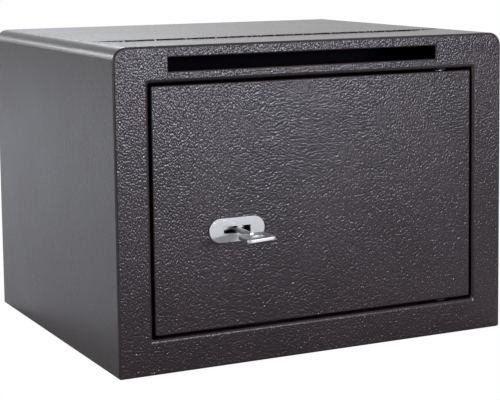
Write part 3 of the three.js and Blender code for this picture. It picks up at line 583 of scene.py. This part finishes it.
def runsOn(points):
    # cuts in the front that run on past the doorway's corners
    middle = (points[0] + points[1]) / 2
    offSide, offEnd = offDoorway(middle)
    beside = offEnd < near and not doorway[0] < middle.x < doorway[1]
    beyond = offSide < near and not doorway[2] < middle.z < doorway[3]
    return allAt(1, shellLow.y)(points) and (beside or beyond)


def onFold(points):
    # fold lines that run through the doorway's corners from front to back
    for point in points:
        offSide, offEnd = offDoorway(point)
        if abs(offSide - offEnd) >= near or offSide >= shell["lipRadius"] + near:
            return False
    return abs(points[0].y - points[1].y) > near / 2


def foldLips(piece):
    # lips folded into the doorway
    pick(piece, "EDGE", onRim(doorway))
    bpy.ops.mesh.extrude_region_move(TRANSFORM_OT_translate={"value": (0, shell["lipDepth"], 0)})
    leaveEdit()
    pick(piece, "EDGE", runsOn)
    bpy.ops.mesh.dissolve_edges(use_verts=True)
    leaveEdit()
    bevelEdges(piece, onRim(doorway), shell["lipRadius"], shell["lipSteps"], clamp=False)
    found = bevelEdges(piece, onFold, shell["lipCorner"], shell["lipCornerSteps"])
    print("doorway folds rounded", found)


def cutTabRow(piece):
    # the row of tab slots across the roof, and the strip in front of it that lies a little lower
    stripFront = shellLow.y + shell["stripFront"]
    rowRear = shellLow.y + shell["tabRowSetback"] + shell["tabSlotHalf"]
    rowFront = rowRear - 2 * shell["tabSlotHalf"]
    for value in (rowRear, rowFront, stripFront):
        divide(piece, onTop, 1, value)
    count = shell["tabCount"]
    pitch = (shellHigh.x - shellLow.x - 2 * shell["tabRowInset"]) / count
    half = (pitch - shell["tabBridge"]) / 2
    middles = [(index - (count - 1) / 2) * pitch for index in range(count)]
    columns = [middle + side * half for middle in middles for side in (-1, 1)]

    def onStrip(points):
        return (onTop(points) and max(p.y for p in points) < rowRear + near
                and min(p.y for p in points) > stripFront - near)

    for value in columns:
        divide(piece, onStrip, 0, value)
    for start, end in zip(columns[::2], columns[1::2]):
        deleteFaces(piece, inBox((start, end, rowFront, rowRear), 2, shellHigh.z))
    flatEnd = shellHigh.x - shell["roofRadius"]
    for value in columns:
        share = min(1, (flatEnd - abs(value)) / shell["stripTaper"])
        pick(piece, "VERT", lambda p: abs(p[0].x - value) < near and abs(p[0].y - rowFront) < near
             and p[0].z > shellHigh.z - near)
        bpy.ops.transform.translate(value=(0, 0, -shell["stripSink"] * share))
        leaveEdit()


def drillShell(piece):
    # holes for the anchors, the bolts and the hinge bushes
    cutters = []
    reach = shell["sheet"] + shell["over"]
    for side in (-1, 1):
        x, y = side * shell["anchorSpacing"] / 2, shell["anchorSetback"]
        cutters.append(addRod("hole", shell["anchorRadius"], (x, y, -shell["over"]), (x, y, reach)))
    for name in ("upper_bolt", "lower_bolt"):
        low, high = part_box(name)
        x, y, z = doorway[0], (low.y + high.y) / 2, (low.z + high.z) / 2
        radius = (high.z - low.z) / 2 + shell["boltHoleGap"]
        cutters.append(addRod("hole", radius, (x - reach, y, z), (x + shell["over"], y, z)))
    for name, z in (("upper_hinge_pin", doorway[3]), ("lower_hinge_pin", doorway[2])):
        low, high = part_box(name)
        x, y = (low.x + high.x) / 2, (low.y + high.y) / 2
        radius = (high.x - low.x) / 2 + shell["bushPastPin"] + shell["bushHoleGap"]
        cutters.append(addRod("hole", radius, (x, y, z - reach), (x, y, z + reach)))
    return combine(piece, joined(cutters, "holes"))


def makeShell():
    front = shellLow.y
    piece = addBlock("bodyShell", shellLow, shellHigh)
    bevelEdges(piece, lambda p: along(1)(p) and onTop(p), shell["roofRadius"], shell["roofSteps"])
    bevelEdges(piece, lambda p: along(1)(p) and p[0].z < shellLow.z + near,
               shell["floorRadius"], shell["floorSteps"])
    bevelEdges(piece, allAt(1, front), shell["frontRadius"], shell["frontSteps"])
    deleteFaces(piece, allAt(1, shellHigh.y))
    # front divided along the doorway and the slot
    for box in (doorway, depositSlot):
        for axis, value in zip((0, 0, 2, 2), box):
            divide(piece, allAt(1, front), axis, value)
    for box in (doorway, depositSlot):
        deleteFaces(piece, inBox(box, 1, front))
    foldLips(piece)
    cutTabRow(piece)
    cleanNormals(piece)
    applyModifier(piece, "SOLIDIFY", thickness=shell["sheet"], offset=-1, use_even_offset=True)
    bevelEdges(piece, onRim(depositSlot), shell["slotEdge"], shell["slotEdgeSteps"], clamp=False)
    return drillShell(piece)


bodyShell = makeShell()
finishPiece(bodyShell, "root", bodyCoat, "body_wrap", "front_frame", slot="body_paint")
print("body shell made")


# Door leaf with softened edges and the keyway
leaf = {
    "cornerRadius": 0.0015,
    "cornerSteps": 3,
    "edgeRadius": 0.0011,
    "edgeSteps": 4,
    "keywayLength": 0.0236,
    "keywayHeight": 0.0060,
    "over": 0.002,
}


def lockCentre():
    low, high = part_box("key_rotor")
    return (low + high) / 2


def cutKeyway(piece, values, front, rear):
    centre = lockCentre()
    length, height = values["keywayLength"] / 2, values["keywayHeight"] / 2
    combine(piece, addBlock("keyway", (centre.x - length, front - values["over"], centre.z - height),
                            (centre.x + length, rear + values["over"], centre.z + height)))


def makeLeaf():
    low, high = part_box("door_leaf")
    piece = addBlock("doorLeaf", low, high)
    bevelEdges(piece, along(1), leaf["cornerRadius"], leaf["cornerSteps"])
    bevelEdges(piece, allAt(1, low.y), leaf["edgeRadius"], leaf["edgeSteps"])
    cutKeyway(piece, leaf, low.y, high.y)
    return piece


doorLeaf = makeLeaf()
finishPiece(doorLeaf, "door", bodyCoat, "door_leaf", slot="body_paint")


# Escutcheon: stadium plate with a soft rim, a keyway and two pegs
plate = {
    "thickness": 0.0015,
    "endSteps": 20,
    "rim": 0.0007,
    "rimSteps": 5,
    "keywayLength": 0.023,
    "keywayHeight": 0.0054,
    "keywayEdge": 0.00025,
    "keywayEdgeSteps": 2,
    "pegRadius": 0.0015,
    "pegSides": 24,
    "pegSpacing": 0.036,
    "over": 0.002,
}


def makePlate():
    low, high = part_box("escutcheon")
    centre = lockCentre()
    rear = low.y + plate["thickness"]
    piece = addBlock("escutcheonPlate", low, (high.x, rear, high.z))
    bevelEdges(piece, along(1), (high.z - low.z) / 2 - near, plate["endSteps"])
    bevelEdges(piece, allAt(1, low.y), plate["rim"], plate["rimSteps"])
    cutKeyway(piece, plate, low.y, rear)

    def onKeyway(points):
        length, height = plate["keywayLength"] / 2 + near, plate["keywayHeight"] / 2 + near
        fits = all(abs(p.x - centre.x) < length and abs(p.z - centre.z) < height for p in points)
        return fits and allAt(1, low.y)(points)

    bevelEdges(piece, onKeyway, plate["keywayEdge"], plate["keywayEdgeSteps"])
    for side in (-1, 1):
        x = centre.x + side * plate["pegSpacing"] / 2
        combine(piece, addRod("peg", plate["pegRadius"], (x, rear - near, centre.z),
                              (x, high.y, centre.z), plate["pegSides"]), "UNION")
    return piece


escutcheonPlate = makePlate()
finishPiece(escutcheonPlate, "door", metals["satinNickel"], "escutcheon", slot="satin_nickel")
print("door leaf and escutcheon made")


# Key: shank, stepped bits and a flat bow that hangs in the play of the lock
cutKey = {
    "doorSetback": 0.001,       # how far the door lies behind the body's front
    "shankRadius": 0.0022,
    "shankSides": 40,
    "bowSetback": 0.024,
    "bowLength": 0.0222,
    "bowWidth": 0.0244,
    "bowThickness": 0.0025,
    "rearRadius": 0.006,
    "rearSteps": 10,
    "frontRadius": 0.0035,
    "frontSteps": 8,
    "edge": 0.0008,
    "edgeSteps": 3,
    "holeWidth": 0.011,
    "holeHeight": 0.0076,
    "holeShare": 0.62,          # of the bow's length, from its rear
    "holeSteps": 12,
    "bitSetback": 0.004,
    "bitLength": 0.0075,
    "bitThickness": 0.0026,
    "bitReach": 0.010,
    "bitShares": (1, 0.74, 0.88, 0.62, 0.8, 0.68, 1),
    "tipReach": 0.0013,
    "tipShare": 1 / 3,          # of the shank's radius, rounded off at the tip
    "tipSteps": 3,
    "over": 0.010,
    "lean": 3.2,                # degrees, right side up
    "droop": 1.2,               # degrees, bow down
}


def makeBow(centre, bowRear):
    k = cutKey
    bowFront = bowRear - k["bowLength"]
    halfWidth, halfBow = k["bowWidth"] / 2, k["bowThickness"] / 2
    bow = addBlock("safeKey", (centre.x - halfWidth, bowFront, centre.z - halfBow),
                   (centre.x + halfWidth, bowRear, centre.z + halfBow))
    bevelEdges(bow, lambda p: along(2)(p) and p[0].y > bowRear - near, k["rearRadius"], k["rearSteps"])
    bevelEdges(bow, lambda p: along(2)(p) and p[0].y < bowFront + near, k["frontRadius"], k["frontSteps"])
    halfHole, halfHeight = k["holeWidth"] / 2, k["holeHeight"] / 2
    holeMiddle = bowRear - k["bowLength"] * k["holeShare"]
    hole = addBlock("ringHole", (centre.x - halfHole, holeMiddle - halfHeight, centre.z - k["over"]),
                    (centre.x + halfHole, holeMiddle + halfHeight, centre.z + k["over"]))
    bevelEdges(hole, along(2), halfHeight - near, k["holeSteps"])
    combine(bow, hole)
    bevelEdges(bow, lambda p: allAt(2, centre.z - halfBow)(p) or allAt(2, centre.z + halfBow)(p),
               k["edge"], k["edgeSteps"])
    return bow


def makeKey():
    k = cutKey
    centre = lockCentre()
    low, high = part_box("door_leaf")
    front, rear = low.y - k["doorSetback"], high.y
    bowRear = front - k["bowSetback"]
    piece = makeBow(centre, bowRear)
    bitFront = rear + k["bitSetback"]
    tip = bitFront + k["bitLength"] + k["tipReach"]
    shank = addRod("shank", k["shankRadius"], (centre.x, bowRear - k["rearRadius"] / 2, centre.z),
                   (centre.x, tip, centre.z), k["shankSides"])
    bevelEdges(shank, allAt(1, tip), k["shankRadius"] * k["tipShare"], k["tipSteps"])
    combine(piece, shank, "UNION")
    step = k["bitLength"] / len(k["bitShares"])
    halfBit = k["bitThickness"] / 2
    for index, share in enumerate(k["bitShares"]):
        start, reach = bitFront + index * step, k["bitReach"] * share
        bit = addBlock("bit", (centre.x - reach, start - near, centre.z - halfBit),
                       (centre.x + reach, start + step + near, centre.z + halfBit))
        combine(piece, bit, "UNION")
    # the lean and the droop of the play
    pivot = Vector((centre.x, front, centre.z))
    lean = Matrix.Rotation(-math.radians(k["lean"]), 4, "Y")
    droop = Matrix.Rotation(math.radians(k["droop"]), 4, "X")
    piece.matrix_world = Matrix.Translation(pivot) @ lean @ droop @ Matrix.Translation(-pivot)
    return fixPlace(piece)


safeKey = makeKey()
finishPiece(safeKey, "key", metals["keyNickel"], "key", slot="satin_nickel")
print("key made")


# Felt mat on the floor, its edges worn soft
mat = {
    "edge": 0.0008,
    "edgeSteps": 3,
    "corner": 0.006,
    "cornerSteps": 6,
    "holeRadius": 0.009,
    "wear": 0.0004,             # the worn mat is thinner than the solid by this much
    "over": 0.002,
}
matLow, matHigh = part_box("floor_mat")


def makeMat():
    top = matHigh.z - mat["wear"]
    piece = addBlock("feltMat", matLow, (matHigh.x, matHigh.y, top))
    bevelEdges(piece, along(2), mat["corner"], mat["cornerSteps"])
    for side in (-1, 1):
        x, y = side * shell["anchorSpacing"] / 2, shell["anchorSetback"]
        combine(piece, addRod("hole", mat["holeRadius"], (x, y, matLow.z - mat["over"]),
                              (x, y, matHigh.z + mat["over"])))
    bevelEdges(piece, allAt(2, top), mat["edge"], mat["edgeSteps"])
    return piece


feltMat = makeMat()
finishPiece(feltMat, "root", matFelt, "floor_mat", slot="felt")
print("mat made")


# CAD nodes that keep their own shape
def dress(material, *names):
    for name in names:
        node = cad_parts[name]
        node.data.materials.clear()
        node.data.materials.append(material)


fasteners = [f"{place}_{kind}" for place in ("upper_guide", "lower_guide", "left_lock", "right_lock")
             for kind in ("stud", "nut")]
fasteners += [f"cover_{kind}_{number}" for kind in ("stud", "nut") for number in (1, 2, 3, 4)]
dress(bodyCoat, "rear_panel")
# painted shade: these inner pieces are coloured near black so that the slot and the keyway read dark
dress(shadeBlack, "deposit_chute", "anti_fishing_baffle", "upper_door_stop", "lower_door_stop", "key_rotor")
dress(innerCoat, "bolt_keeper", "upper_hinge_block", "lower_hinge_block", "lock_cover")
dress(metals["zincPlate"], "bolt_guide", "bolt_bar", "drive_cam", "cam_nut", *fasteners)
dress(metals["brightSteel"], "upper_hinge_pin", "lower_hinge_pin", "hinge_washer",
      "upper_bolt", "lower_bolt", "cam_follower")
# painted shade: the hinge bushes are near black so that they vanish in the dark door gap
dress(metals["darkSteelShade"], "lock_case", "upper_hinge_bush", "lower_hinge_bush")
print("inner pieces dressed")


# Studio: pale floor, soft lamps and a white surround
studio = {
    "floorSize": 30.0,
    "floorShift": 4.0,          # how far the floor's middle lies behind the safe
    "floorDrop": 0.0004,
    "floorColour": (0.78, 0.79, 0.82),
    "floorRoughness": 0.9,
    "floorToGloss": 0.12,       # share of plain white that reflections see in the floor
    "worldLight": 0.24,
}
lamps = {
    # place, target, size, power, colour
    "frontLamp": ((0.385, -1.42, 0.362), (0.0, -0.15, 0.22), (0.34, 0.12), 10.5, (0.84, 0.88, 1.0)),
    "leftLamp": ((-1.9, 3.2, 1.2), (-0.4, 0.5, 0.0), (1.0, 0.6), 28.0, (0.93, 0.95, 1.0)),
    "edgeLamp": ((-1.6, -0.35, 0.40), (-0.17, -0.15, 0.15), (0.25, 0.5), 5.0, (0.95, 0.97, 1.0)),
    "backLamp": ((0.3, 1.75, 1.7), (-0.5, 0.5, 0.0), (0.7, 0.7), 42.0, (0.87, 0.93, 1.0)),
}


def mixShaders(tree, factor, first, second, output):
    mix = addNode(tree, "ShaderNodeMixShader")
    for source, socket in zip((factor, first, second), mix.inputs):
        tree.links.new(source, socket)
    tree.links.new(mix.outputs[0], output.inputs["Surface"])


def makeFloor():
    dropSelection()
    bpy.ops.mesh.primitive_plane_add(size=studio["floorSize"],
                                     location=(0, studio["floorShift"], -studio["floorDrop"]))
    floor = fixPlace(nameNew("floor"))
    material, shader = newMaterial("floorPaper")
    tree = material.node_tree
    shader.inputs["Base Color"].default_value = (*studio["floorColour"], 1)
    shader.inputs["Roughness"].default_value = studio["floorRoughness"]
    glow = addNode(tree, "ShaderNodeEmission")
    rays = addNode(tree, "ShaderNodeLightPath")
    other = mathNode(tree, "MAXIMUM", rays.outputs["Is Glossy Ray"], rays.outputs["Is Transmission Ray"])
    share = mathNode(tree, "MULTIPLY", other, studio["floorToGloss"])
    seen = mathNode(tree, "ADD", rays.outputs["Is Camera Ray"], share)
    output = [node for node in tree.nodes if node.type == "OUTPUT_MATERIAL"][0]
    mixShaders(tree, seen, shader.outputs["BSDF"], glow.outputs[0], output)
    floor.data.materials.append(material)


def makeWorld():
    world = bpy.data.worlds.new("surround")
    world.use_nodes = True
    tree = world.node_tree
    tree.nodes.clear()
    output = addNode(tree, "ShaderNodeOutputWorld")
    light = addNode(tree, "ShaderNodeBackground")
    light.inputs["Strength"].default_value = studio["worldLight"]
    white = addNode(tree, "ShaderNodeBackground")
    rays = addNode(tree, "ShaderNodeLightPath")
    seen = mathNode(tree, "MAXIMUM", rays.outputs["Is Camera Ray"], rays.outputs["Is Glossy Ray"])
    seen = mathNode(tree, "MAXIMUM", seen, rays.outputs["Is Transmission Ray"])
    mixShaders(tree, seen, light.outputs[0], white.outputs[0], output)
    bpy.context.scene.world = world


def addLamp(name, place, target, size, power, colour):
    lamp = bpy.data.lights.new(name, "AREA")
    lamp.shape = "RECTANGLE"
    lamp.size, lamp.size_y = size
    lamp.energy = power
    lamp.color = colour
    holder = bpy.data.objects.new(name, lamp)
    bpy.context.scene.collection.objects.link(holder)
    holder.location = place
    holder.rotation_euler = (Vector(target) - Vector(place)).to_track_quat("-Z", "Y").to_euler()


setCamera()
makeFloor()
makeWorld()
for name, values in lamps.items():
    addLamp(name, *values)
bpy.context.scene.view_settings.view_transform = "Standard"
print("studio made")
